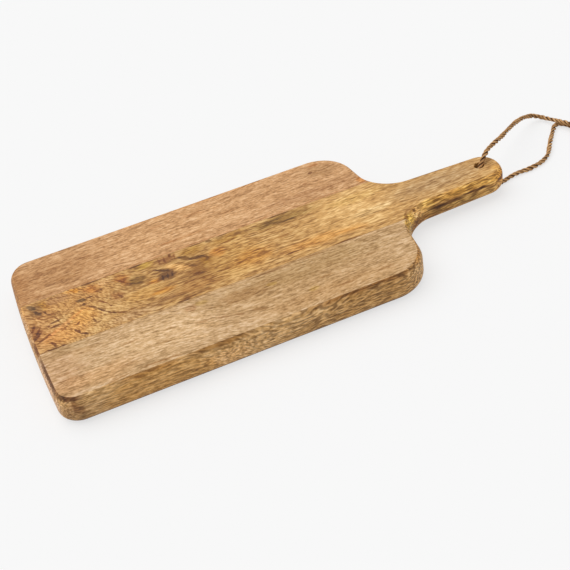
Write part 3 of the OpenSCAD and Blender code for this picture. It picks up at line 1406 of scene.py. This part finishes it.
@dataclass
class PhotoCamera:
    """The camera at the photograph's viewing angle."""

    place: Point = (-201.35, -726.06, 592.17)
    right: Point = (0.9152, -0.3772, -0.1417)
    up: Point = (0.3439, 0.5479, 0.7626)
    back: Point = (-0.21, -0.7466, 0.6312)
    lens_mm: float = 73.6
    sensor_mm: float = 36.0
    clip_m: Span = (0.01, 50.0)

    def build(self) -> bpy.types.Object:
        """Makes the camera and sets it as the scene's.

        Returns:
            The camera.
        """
        data = bpy.data.cameras.new("photo_camera")
        data.lens = self.lens_mm
        data.sensor_width = self.sensor_mm
        data.clip_start, data.clip_end = self.clip_m
        camera = bpy.data.objects.new("photo_camera", data)
        columns = (self.right, self.up, self.back)
        turn = Matrix([[column[row] for column in columns] for row in range(3)])
        camera.matrix_world = Matrix.Translation(Vector(self.place) * MM) @ turn.normalized().to_4x4()
        bpy.context.scene.collection.objects.link(camera)
        bpy.context.scene.camera = camera
        return camera


@dataclass
class Studio:
    """A pale floor and soft light from above."""

    white: float = 0.939
    floor_half: float = 4000.0
    bounce: float = 0.85
    shadow_share: float = 0.3
    sky: float = 0.5
    key_from: Point = (-0.35, 0.3, 1.0)
    key_share: float = 0.5
    key_spread: float = 70.0

    def build(self) -> None:
        """Makes the floor, the world and the lamp."""
        self._floor()
        self._world()
        self._key()
        bpy.context.scene.view_settings.view_transform = "Standard"

    @staticmethod
    def _seen(nodes: Nodes) -> Sock:
        """Whether light is on its way to the camera.

        Args:
            nodes: The tree that asks.

        Returns:
            1 on what the camera sees itself, in a glossy surface or through a clear one, and else 0.
        """
        rays = nodes.node("ShaderNodeLightPath").outputs
        kinds = ("Is Camera Ray", "Is Glossy Ray", "Is Transmission Ray")
        camera, glossy, clear = (Sock(nodes, rays[kind]) for kind in kinds)
        return nodes.math("MAXIMUM", nodes.math("MAXIMUM", camera, glossy), clear)

    def _floor(self) -> None:
        """The floor, on which the camera sees a paler shadow than the light leaves there."""
        half = self.floor_half
        points = np.array(((-half, -half, 0.0), (half, -half, 0.0), (half, half, 0.0), (-half, half, 0.0)))
        floor = mesh_object("floor", points, [[0, 1, 2, 3]])
        shader = Shader("pale_floor")
        seen = self._seen(shader)
        shader.dress(shader.mix((self.bounce,) * 3, (self.white,) * 3, seen), 1.0)
        shader.bsdf.inputs["Specular IOR Level"].default_value = 0.0
        glow = shader.add("ShaderNodeEmission", None, {"Color": (self.white,) * 3, "Strength": 1.0})
        share = seen * (1.0 - self.shadow_share)
        mixed = shader.add("ShaderNodeMixShader", None, {0: share, 1: shader.surface, 2: glow})
        shader.feed(shader.output.inputs["Surface"], mixed)
        floor.data.materials.append(shader.material)

    def _world(self) -> None:
        """Even light from all round, which the camera sees as the floor's white."""
        world = bpy.data.worlds.new("studio")
        world.use_nodes = True
        nodes = Nodes(world.node_tree)
        strength = nodes.rise(self._seen(nodes), 0.0, 1.0, self.sky, self.white)
        light = nodes.add("ShaderNodeBackground", None, {"Color": (1.0, 1.0, 1.0), "Strength": strength})
        nodes.node("ShaderNodeOutputWorld", None, {"Surface": light})
        bpy.context.scene.world = world

    def _key(self) -> None:
        """A wide lamp overhead, a little behind the board and to its left."""
        data = bpy.data.lights.new("key", "SUN")
        toward = Vector(self.key_from).normalized()
        data.energy = math.pi * self.key_share / toward.z
        data.angle = math.radians(self.key_spread)
        lamp = bpy.data.objects.new("key", data)
        lamp.rotation_mode = "QUATERNION"
        lamp.rotation_quaternion = toward.to_track_quat("Z", "Y")
        bpy.context.scene.collection.objects.link(lamp)


def on_top(
    x: float, y: float, long: float, wide: float, tint: Colour, turn: float = 0.0, soft: float = 0.7
) -> Patch:
    """A patch as seen from above, which runs straight down through the stave.

    Args:
        x: Its middle along the board.
        y: Its middle across the board.
        long: Half of its length.
        wide: Half of its width.
        tint: Its tint.
        turn: Degrees that it is turned by, seen from above.
        soft: The share of it over which it fades out.

    Returns:
        The patch.
    """
    return Patch((x, y, THROUGH_Z), (long, wide, THROUGH_DEPTH), tint, turn, soft)


def line(x: float, y: float, long: float, wide: float, tint: Colour, turn: float = 0.0) -> Patch:
    """A patch like that of on_top, but with a firm edge."""
    return on_top(x, y, long, wide, tint, turn, FIRM_EDGE)


FAR_WOOD = WoodFinish(
    name="wood_far",
    dark=(0.35, 0.165, 0.055),
    middle=(0.615, 0.327, 0.136),
    light=(0.82, 0.508, 0.265),
    shift=(130.0, 40.0, 9.0),
    # Painted light: the far stave's sides are tinted apart from its top
    side_light_tint=(1.06, 1.05, 0.95),
    dash_share=0.5,
    patches=(
        on_top(-168, 60, 56, 34, (0.82, 0.76, 0.66)),
        on_top(-205, 60, 18, 60, (0.8, 0.7, 0.56)),
        on_top(-60, 60, 110, 40, (1.05, 1.06, 1.06)),
        on_top(55, 47, 64, 8, (0.8, 0.74, 0.68)),
        on_top(72, 72, 30, 12, (0.8, 0.77, 0.7)),
        Patch((-40, 91, 18), (150, 8, 14), (1.04, 0.95, 0.8)),
        on_top(-184, 66, 8, 8, (0.82, 0.75, 0.66)),
        on_top(-166, 51, 12, 4, (0.84, 0.78, 0.66)),
        on_top(-44, 75, 12, 4, (0.9, 0.82, 0.72)),
    ),
    strokes=(
        line(-20, 35.0, 240, 1.2, (0.86, 0.76, 0.66)),
        line(-186, 38.6, 13, 1.8, (0.74, 0.66, 0.52)),
        line(-62, 48.4, 30, 1.8, (0.86, 0.77, 0.66)),
        line(-75, 48, 10, 1.6, (0.84, 0.74, 0.62)),
        line(-18, 61.2, 9, 1.2, (0.78, 0.68, 0.55)),
        line(-78, 75, 9, 1.8, (0.88, 0.8, 0.72)),
        line(-26, 74.4, 5, 1.0, (1.18, 1.2, 1.2), 8.0),
        line(-23, 72.6, 7, 1.0, (0.76, 0.66, 0.54), 8.0),
        line(-170, 68.6, 9, 1.5, (0.8, 0.72, 0.6)),
        line(-156, 69, 5, 1.5, (0.8, 0.72, 0.6)),
        line(-143, 68.6, 8, 1.2, (0.84, 0.76, 0.66)),
        line(-125, 76.4, 7, 2.0, (0.8, 0.72, 0.6)),
        line(-113, 76, 5, 1.6, (0.84, 0.76, 0.66)),
        line(64, 74, 2.6, 2.0, (0.5, 0.38, 0.28)),
        line(53, 61, 2.2, 1.7, (0.7, 0.6, 0.5)),
        line(71, 83.5, 7, 2.6, (0.82, 0.66, 0.5)),
        line(97, 40, 5, 6, (1.05, 0.82, 0.52)),
    ),
)
MIDDLE_WOOD = WoodFinish(
    name="wood_middle",
    dark=(0.29, 0.13, 0.03),
    middle=(0.585, 0.312, 0.094),
    light=(0.83, 0.53, 0.215),
    shift=(320.0, 11.0, 27.0),
    grain=Grain(specks=(5.5, 1.5, 1.2)),
    mottle_share=1.1,
    streak_share=1.1,
    fibre_share=1.8,
    speck_share=1.5,
    calm=0.68,
    force=1.35,
    torn_reach=(7.0, 4.0, 4.0),
    slide=(-220.0, -105.0, 70.0),
    patches=(
        on_top(-84, 0, 66, 60, (0.86, 0.82, 0.75)),
        on_top(-38, 0, 40, 36, (0.96, 0.92, 0.78)),
        on_top(-204, 0, 30, 50, (0.94, 0.86, 0.82)),
        on_top(74, 3, 56, 44, (1.14, 1.18, 1.24)),
        on_top(-165, 20, 48, 22, (0.95, 0.87, 0.78)),
        on_top(-163, -4, 17, 15, (1.14, 1.04, 0.82)),
        on_top(-180, -18, 28, 15, (1.08, 0.97, 0.82)),
        on_top(-122, 18, 5, 11, (0.84, 0.7, 0.55), 25.0),
        on_top(-100, 6, 8, 5, (1.1, 0.92, 0.56)),
        on_top(-56, 9, 7, 8, (0.8, 0.72, 0.46)),
        on_top(-195, 22, 8, 14, (0.7, 0.68, 0.64), -20.0),
        on_top(-189, 25, 5, 9, (1.0, 0.96, 0.62), 15.0),
        on_top(-176, 27, 13, 8, (0.88, 0.86, 0.95)),
        on_top(-162, 30, 10, 5, (1.22, 1.08, 0.62), -18.0),
        on_top(-149, 24, 9, 8, (1.0, 0.84, 0.62)),
        on_top(-137, 27, 7, 6, (1.14, 1.18, 1.36)),
        on_top(-124, 25, 9, 8, (0.9, 0.76, 0.58)),
        on_top(-114, 14, 11, 9, (0.62, 0.58, 0.42)),
        on_top(-102, 30, 11, 6, (0.9, 0.9, 0.54)),
        on_top(-133, 4, 8, 8, (0.78, 0.66, 0.56)),
        on_top(-112, -5, 24, 11, (1.14, 1.14, 1.04)),
        on_top(-201, -6, 7, 14, (0.7, 0.58, 0.47)),
        on_top(-125, -25, 30, 8, (0.96, 0.98, 1.14)),
        on_top(-98, -10, 15, 4, (1.04, 0.88, 0.54)),
        on_top(-98, -20, 13, 5, (0.92, 0.9, 0.95)),
        on_top(-84, 28, 12, 9, (0.72, 0.6, 0.54)),
        Patch((-89.5, 8.5, 20), (10, 9, 40), (0.52, 0.45, 0.4), -35.0, 0.5),
        on_top(-66, 0, 12, 14, (0.68, 0.58, 0.44)),
        on_top(-62, 27, 14, 9, (0.86, 0.8, 0.54)),
        on_top(-72, -17, 28, 10, (0.88, 0.8, 0.7)),
        on_top(-44, 14, 10, 9, (1.02, 0.86, 0.64)),
        on_top(-30, 27, 22, 8, (0.84, 0.78, 0.58)),
        on_top(-36, 31, 5, 4, (0.68, 0.64, 0.58)),
        on_top(-20, -8, 24, 16, (1.0, 0.9, 0.7)),
        on_top(18, 26, 42, 9, (0.72, 0.7, 0.56)),
        on_top(4, 24, 14, 8, (0.86, 0.84, 0.74)),
        on_top(80, 19, 34, 8, (1.06, 1.1, 1.06)),
        on_top(84, -5, 24, 7, (1.16, 1.28, 1.5)),
        on_top(30, -17, 42, 10, (1.04, 0.93, 0.74)),
        on_top(62, -19, 20, 6, (0.98, 0.88, 0.7)),
        Patch((150, 2, 20), (70, 20, 16), (0.9, 0.95, 1.15)),
        # Painted highlight: this patch and the four after it lighten the handle's near rounded edge, partly
        # painted highlight and partly the wood's own yellow tone
        Patch((110, -33, 20), (10, 13, 14), (1.14, 1.2, 0.8)),
        Patch((129, -20, 22), (10, 6, 7), (1.12, 1.18, 1.05)),
        Patch((158, -19, 23), (40, 5, 5), (1.12, 1.14, 0.98)),
        Patch((119, -24.5, 23), (19, 7, 8), (1.34, 1.46, 1.8), 25.0, 0.5),
        Patch((190, -18, 21), (15, 7, 4), (1.3, 1.34, 1.2)),
        Patch((165, -22, 11), (60, 9, 10), (0.83, 0.86, 0.84)),
        Patch((201, -8, 18), (10, 14, 10), (1.2, 1.1, 0.68)),
    ),
    strokes=(
        line(-178, -6, 27, 2.2, (1.12, 1.04, 1.04), 30.0),
        line(-144, 19.5, 5, 1.6, (0.62, 0.52, 0.36)),
        line(-198, 27, 6, 3.2, (0.52, 0.52, 0.55), -50.0),
        line(-195, 18, 6, 2.4, (0.52, 0.48, 0.48), -62.0),
        line(-188.5, 15, 4, 1.4, (0.45, 0.37, 0.3), -60.0),
        line(-184.5, 11, 4.5, 1.1, (0.62, 0.5, 0.38), -38.0),
        line(-187.5, 7.4, 4.5, 1.1, (0.6, 0.46, 0.34), -18.0),
        line(-182.6, 4, 3.2, 1.0, (0.6, 0.46, 0.34), -62.0),
        line(-197, 11, 5, 1.1, (1.2, 1.24, 1.3), -55.0),
        line(-194.6, 11, 5, 1.0, (0.62, 0.5, 0.4), -55.0),
        line(-202, 1, 6, 1.6, (0.64, 0.5, 0.39), 65.0),
        line(-199, -4, 7, 1.6, (0.58, 0.44, 0.34), 55.0),
        line(-201, -10, 8, 1.6, (0.54, 0.42, 0.32), 42.0),
        line(-184, 0.7, 6.5, 1.4, (0.42, 0.33, 0.23), 9.0),
        line(-186, -4.6, 6, 1.5, (0.44, 0.33, 0.23), 5.0),
        line(-190, -2.2, 2.2, 1.1, (0.55, 0.42, 0.3), 60.0),
        line(-184.6, -1.8, 4, 1.1, (1.16, 1.2, 1.26), 8.0),
        line(-197, -14.6, 9, 1.5, (0.5, 0.38, 0.26), 33.0),
        line(-191.5, -25, 5.5, 1.6, (0.52, 0.4, 0.3), -75.0),
        line(-180, -11, 6, 1.0, (0.78, 0.64, 0.5), 35.0),
        line(-171.4, -20, 4.6, 1.4, (0.38, 0.27, 0.18), -64.0),
        line(-167, -25.6, 4.4, 1.4, (0.38, 0.27, 0.18), -32.0),
        line(-156.4, -14.6, 4.4, 1.3, (0.5, 0.4, 0.28), -72.0),
        line(-153.6, -18.2, 2.6, 1.1, (0.5, 0.38, 0.26), -12.0),
        line(-168.4, -10.8, 2.4, 1.5, (0.5, 0.4, 0.3), 40.0),
        line(-153.4, 2, 5, 1.2, (0.46, 0.34, 0.24), -52.0),
        line(-155.2, 0.6, 5, 1.2, (1.28, 1.3, 1.4), -52.0),
        line(-147.8, -5.4, 6, 1.5, (0.4, 0.29, 0.19), -54.0),
        line(-149.6, -7, 5, 1.1, (1.18, 1.2, 1.26), -54.0),
        line(-141.8, -12.8, 5.6, 1.3, (0.44, 0.33, 0.22), -42.0),
        line(-134.6, -17, 5.6, 1.2, (0.54, 0.41, 0.28), -24.0),
        line(-126.4, -17.6, 5, 1.2, (0.6, 0.48, 0.32), -6.0),
        line(-144.4, 3.2, 7, 1.2, (0.62, 0.47, 0.34), -54.0),
        line(-140.6, -4, 2.6, 1.2, (0.6, 0.46, 0.34), -75.0),
        line(-159.6, 14.8, 5, 2.8, (0.46, 0.44, 0.4), -16.0),
        line(-152.6, 15.2, 3.6, 1.2, (0.48, 0.38, 0.28)),
        line(-158.8, 8.8, 2.6, 1.5, (0.42, 0.32, 0.22)),
        line(-130, 2.4, 3.2, 1.4, (0.5, 0.38, 0.3), -50.0),
        line(-125, 21, 7, 1.1, (0.68, 0.54, 0.4), -50.0),
        line(-148, 32.8, 10, 1.5, (0.42, 0.31, 0.19)),
        line(-110, 32.8, 8, 1.6, (0.46, 0.36, 0.22)),
        line(-130, 33, 14, 1.1, (0.62, 0.5, 0.34)),
        line(-94, 33, 8, 1.0, (0.62, 0.5, 0.34)),
        line(-80, 31.2, 1.6, 3.2, (0.55, 0.42, 0.32)),
        line(-57, 33, 8, 1.2, (0.5, 0.4, 0.26)),
        line(-46, 31.4, 3.4, 2.4, (0.52, 0.46, 0.38)),
        line(-30, 33, 9, 1.2, (0.54, 0.43, 0.3)),
        line(17, 32.8, 12, 1.6, (0.48, 0.38, 0.24)),
        line(-192, -30.2, 14, 1.2, (0.44, 0.34, 0.23)),
        line(-91.4, 15.6, 8, 1.8, (0.46, 0.38, 0.33), -30.0),
        line(-96.6, 19, 3.6, 1.8, (0.58, 0.5, 0.45), -45.0),
        line(-93.4, 6, 5, 1.1, (0.58, 0.49, 0.42), 82.0),
        line(-89.4, 6.4, 5, 1.1, (0.58, 0.49, 0.42), 80.0),
        line(-85.2, 7.4, 4.6, 1.2, (0.55, 0.46, 0.4), 72.0),
        line(-78.5, 12.4, 14, 4.8, (1.36, 1.4, 1.5), -38.0),
        line(-90, 28, 5, 1.1, (0.7, 0.58, 0.5), 84.0),
        line(-85.6, 27.4, 5.5, 1.0, (0.7, 0.58, 0.5), 86.0),
        line(-77, 28, 5, 1.1, (0.74, 0.62, 0.52), 80.0),
        line(-70.6, 21.2, 8, 3.0, (0.5, 0.42, 0.27), -42.0),
        line(-61, 16.2, 9, 2.8, (0.46, 0.37, 0.22), -14.0),
        line(-54.2, 12.8, 3, 1.5, (0.55, 0.45, 0.28), -60.0),
        line(-67, -3.6, 5, 1.4, (0.58, 0.45, 0.32), -8.0),
        line(-75, -10, 9, 1.2, (0.64, 0.53, 0.38)),
        line(-63, -11, 8, 1.2, (0.64, 0.52, 0.36)),
        line(-45, -11.4, 7, 1.1, (0.66, 0.54, 0.38)),
        line(-34, -10.4, 5, 1.1, (0.64, 0.52, 0.36), 10.0),
        line(-83, -28, 9, 1.3, (0.58, 0.46, 0.33)),
        line(-88, -30.2, 8, 1.3, (0.48, 0.38, 0.25)),
        line(-66, -27, 11, 1.0, (0.68, 0.57, 0.43)),
        line(-32, 22.4, 12, 1.2, (0.62, 0.5, 0.34), 4.0),
        line(-4, 18, 12, 1.2, (0.62, 0.52, 0.36), 2.0),
        line(12, 28, 12, 1.2, (0.56, 0.5, 0.38), 3.0),
        line(20, 22, 12, 1.2, (0.56, 0.48, 0.34), 2.0),
        line(10, -20.7, 12, 1.2, (0.5, 0.4, 0.28)),
        line(52, -30.2, 18, 1.3, (0.56, 0.46, 0.32)),
        line(-12, -2, 14, 1.1, (0.74, 0.62, 0.44), 2.0),
        line(6, 4, 16, 1.1, (0.76, 0.65, 0.48), 1.0),
        Patch((147, -22, 16.4), (24, 9, 2.6), (0.36, 0.28, 0.19), 0.0, 0.5),
        Patch((175, -20, 17.8), (19, 9, 1.9), (0.34, 0.26, 0.17), 0.0, 0.5),
        Patch((122, -28, 12), (24, 12, 6), (0.55, 0.46, 0.36)),
        Patch((140, -22, 6), (56, 14, 7), (0.86, 0.8, 0.7), 0.0, 0.5),
        Patch((202, -11, 17.6), (10, 12, 2.2), (0.36, 0.26, 0.17), 0.0, 0.5),
        # Painted shade: a dark line across the neck, where the body's rounded edge meets the handle's
        Patch((105.5, -28, 25), (2.2, 12, 3), (0.56, 0.46, 0.3), -30.0),
        Patch((-211, 1, 12), (8, 50, 60), (0.98, 1.14, 1.7), 0.0, 0.4),
        # Painted shade: the wall of the hanging hole darkens down into it
        Patch((189.75, 2, 8), (8, 8, 15), (0.42, 0.34, 0.28), 0.0, 0.3),
    ),
    # Painted shade along the crease of the left end
    crease_shades=(
        on_top(-203, -24, 12, 14, (0.3, 0.2, 0.12)),
    ),
)
NEAR_WOOD = WoodFinish(
    name="wood_near",
    dark=(0.34, 0.19, 0.068),
    middle=(0.6, 0.37, 0.172),
    light=(0.79, 0.55, 0.325),
    shift=(570.0, 83.0, 51.0),
    slide=(-125.0, -35.0, 15.0),
    hills=(
        Hill((-20, -95, 12), (80, 30, 20), 7.0),
    ),
    patches=(
        on_top(-185, -36, 26, 9, (0.84, 0.82, 0.74)),
        on_top(-170, -45, 18, 7, (0.88, 0.82, 0.72)),
        on_top(0, -46, 110, 18, (0.84, 0.82, 0.72)),
        on_top(-42, -48, 34, 12, (0.88, 0.8, 0.7)),
        on_top(0, -62, 96, 38, (0.93, 0.89, 0.81)),
        on_top(-114, -58, 56, 30, (1.14, 1.16, 1.18)),
        on_top(-170, -76, 44, 14, (1.06, 0.98, 0.88)),
        on_top(30, -80, 96, 12, (0.94, 0.88, 0.78)),
        on_top(45, -38, 22, 8, (0.9, 0.88, 0.8)),
        Patch((50, -94, 9), (86, 12, 22), (0.82, 0.75, 0.61)),
        Patch((-193, -90, 16), (9, 8, 8), (0.62, 0.5, 0.4)),
        Patch((-184, -93, 9), (34, 10, 18), (0.84, 0.83, 0.84)),
        Patch((-195, -88, 9), (14, 13, 18), (0.74, 0.71, 0.66)),
        on_top(-196, -60, 28, 44, (0.97, 0.91, 0.89)),
    ),
    strokes=(
        line(-60, -32.0, 150, 1.0, (0.84, 0.76, 0.62)),
        line(-16, -33.6, 18, 1.6, (0.62, 0.52, 0.38)),
        line(20, -33, 16, 2.0, (0.78, 0.7, 0.56)),
        line(-83, -61, 7, 1.1, (0.68, 0.57, 0.44), -10.0),
        line(-68, -64.8, 9, 1.2, (0.62, 0.51, 0.38), -16.0),
        line(-55.5, -68.8, 5.5, 1.2, (0.64, 0.53, 0.4), -22.0),
        line(-69, -50.4, 8, 1.5, (0.72, 0.64, 0.5), -8.0),
        line(-56, -52.6, 7, 1.2, (0.78, 0.7, 0.56), -5.0),
        line(-39.5, -71, 8, 2.4, (0.74, 0.65, 0.5), -20.0),
        line(-17, -44.8, 9, 1.2, (0.6, 0.5, 0.34)),
        line(-21, -48.5, 6, 2.6, (0.9, 0.86, 0.55)),
        line(-77, -40, 7, 3.5, (0.88, 0.84, 0.58)),
        line(-86, -42, 6, 5, (0.84, 0.74, 0.66)),
        line(5, -71, 6, 3, (0.95, 0.92, 0.62)),
        line(-139, -54, 10, 1.3, (0.8, 0.71, 0.6)),
        line(-149, -76.6, 11, 1.2, (0.72, 0.65, 0.54), 3.0),
        line(-192, -62.4, 8, 1.1, (0.78, 0.69, 0.58), 2.0),
        line(-190, -69, 10, 1.1, (0.76, 0.67, 0.56), 3.0),
        line(-108, -55.4, 7, 1.2, (0.7, 0.61, 0.47), -8.0),
        line(-114, -68, 10, 1.2, (0.74, 0.66, 0.52), -9.0),
        line(-55, -41, 6, 4, (1.12, 1.15, 1.2)),
        line(-82, -67, 14, 3, (1.12, 1.13, 1.15), -17.0),
        line(-90, -76, 9, 1.8, (1.14, 1.15, 1.16), -17.0),
        line(45, -56.4, 5, 1.2, (0.74, 0.66, 0.53)),
        line(60, -56, 6, 1.1, (0.74, 0.66, 0.53)),
        line(30, -78.4, 10, 1.4, (0.76, 0.66, 0.52)),
        line(63, -77.5, 9, 1.2, (0.7, 0.6, 0.46)),
        line(20, -62, 10, 1.3, (0.82, 0.74, 0.6)),
        Patch((-130, -93.5, 11), (48, 9, 15), (0.92, 0.84, 0.66), 1.0, 0.15),
        Patch((-76, -94, 12), (22, 8, 9), (1.14, 1.12, 1.12), 0.0, 0.5),
        line(-124, -86.2, 20, 1.1, (0.68, 0.54, 0.36), -3.0),
        line(-158, -87.6, 12, 1.0, (0.74, 0.6, 0.42), 8.0),
        Patch((-210, -60, 12), (8, 60, 60), (1.1, 1.2, 1.7), 0.0, 0.4),
        Patch((105, -36, 20), (8, 7, 10), (1.04, 1.02, 0.56), 0.0, 0.5),
    ),
    # Painted shade along the crease of the left end, the near-left corner, the near edge and the shoulder
    crease_shades=(
        on_top(-202, -57, 12, 40, (0.22, 0.15, 0.09)),
        on_top(-196, -88, 15, 11, (0.24, 0.16, 0.1)),
        on_top(40, -90, 70, 12, (0.52, 0.4, 0.26)),
        on_top(-80, -90, 34, 12, (0.55, 0.44, 0.28)),
        on_top(-136, -88, 38, 10, (0.66, 0.54, 0.37)),
        on_top(92, -74, 14, 24, (0.86, 0.7, 0.44)),
    ),
)


@dataclass
class ServingBoard:
    """The board: three staves, and the two glue lines between them."""

    hole_inset: float = 18.5
    hole_side: float = 2.0

    def __post_init__(self) -> None:
        """Takes the board's sizes from the frame."""
        (far_low, far_high), (middle_low, middle_high), (_, near_high) = (
            np.array(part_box(node)) / MM for node in ("stave_far", "stave_middle", "stave_near")
        )
        self.plan = Plan(end_x=float(middle_low[0]), tip_x=float(middle_high[0]), half_w=float(far_high[1]))
        self.section = Section(thick=float(middle_high[2]), shoulder_x=self.plan.shoulder_x)
        self.hole_at: Point = (self.plan.tip_x - self.hole_inset, self.hole_side, 0.0)
        self.far_seam = (float(far_low[1]), float(middle_high[1]))
        self.near_seam = (float(middle_low[1]), float(near_high[1]))

    def build(self) -> list[bpy.types.Object]:
        """Makes the staves and dresses the glue lines.

        Returns:
            The three staves.
        """
        hole = HangingHole(self.hole_at, top=self.section.thick, bottom=self.section.handle_lift)
        staves = [
            Stave("stave_far", self.plan, self.section, FAR_WOOD,
                  self.plan.half_w, self.far_seam[0], Edge.OUTLINE, Edge.SEAM),
            Stave("stave_middle", self.plan, self.section, MIDDLE_WOOD,
                  self.far_seam[1], self.near_seam[0], Edge.SEAM, Edge.SEAM, along=420, hole=hole),
            Stave("stave_near", self.plan, self.section, NEAR_WOOD,
                  self.near_seam[1], -self.plan.half_w, Edge.SEAM, Edge.OUTLINE),
        ]
        built = []
        for stave in staves:
            piece = stave.build()
            built.append(piece)
        return built

    @staticmethod
    def dress_glue(nodes: Mapping[str, bpy.types.Object]) -> None:
        """Gives the glue lines their finish.

        Args:
            nodes: The frame's nodes by name.
        """
        glue = GlueFinish().material()
        for name in ("glue_line_far", "glue_line_near"):
            nodes[name].data.materials.clear()
            nodes[name].data.materials.append(glue)
            LOG.info("dressed %s", name)


def main() -> None:
    """Builds the object around the frame and reports each piece."""
    logging.basicConfig(level=logging.INFO, format="%(message)s")
    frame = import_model()
    PhotoCamera().build()
    board = ServingBoard()
    loop = HangingLoop(board.hole_at)
    for piece in [*loop.build(), *board.build()]:
        LOG.info("made %s: %d faces", piece.name, len(piece.data.polygons))
    board.dress_glue(frame["nodes"])
    Studio().build()
    bpy.context.view_layer.update()


if __name__ == "__main__":
    main()
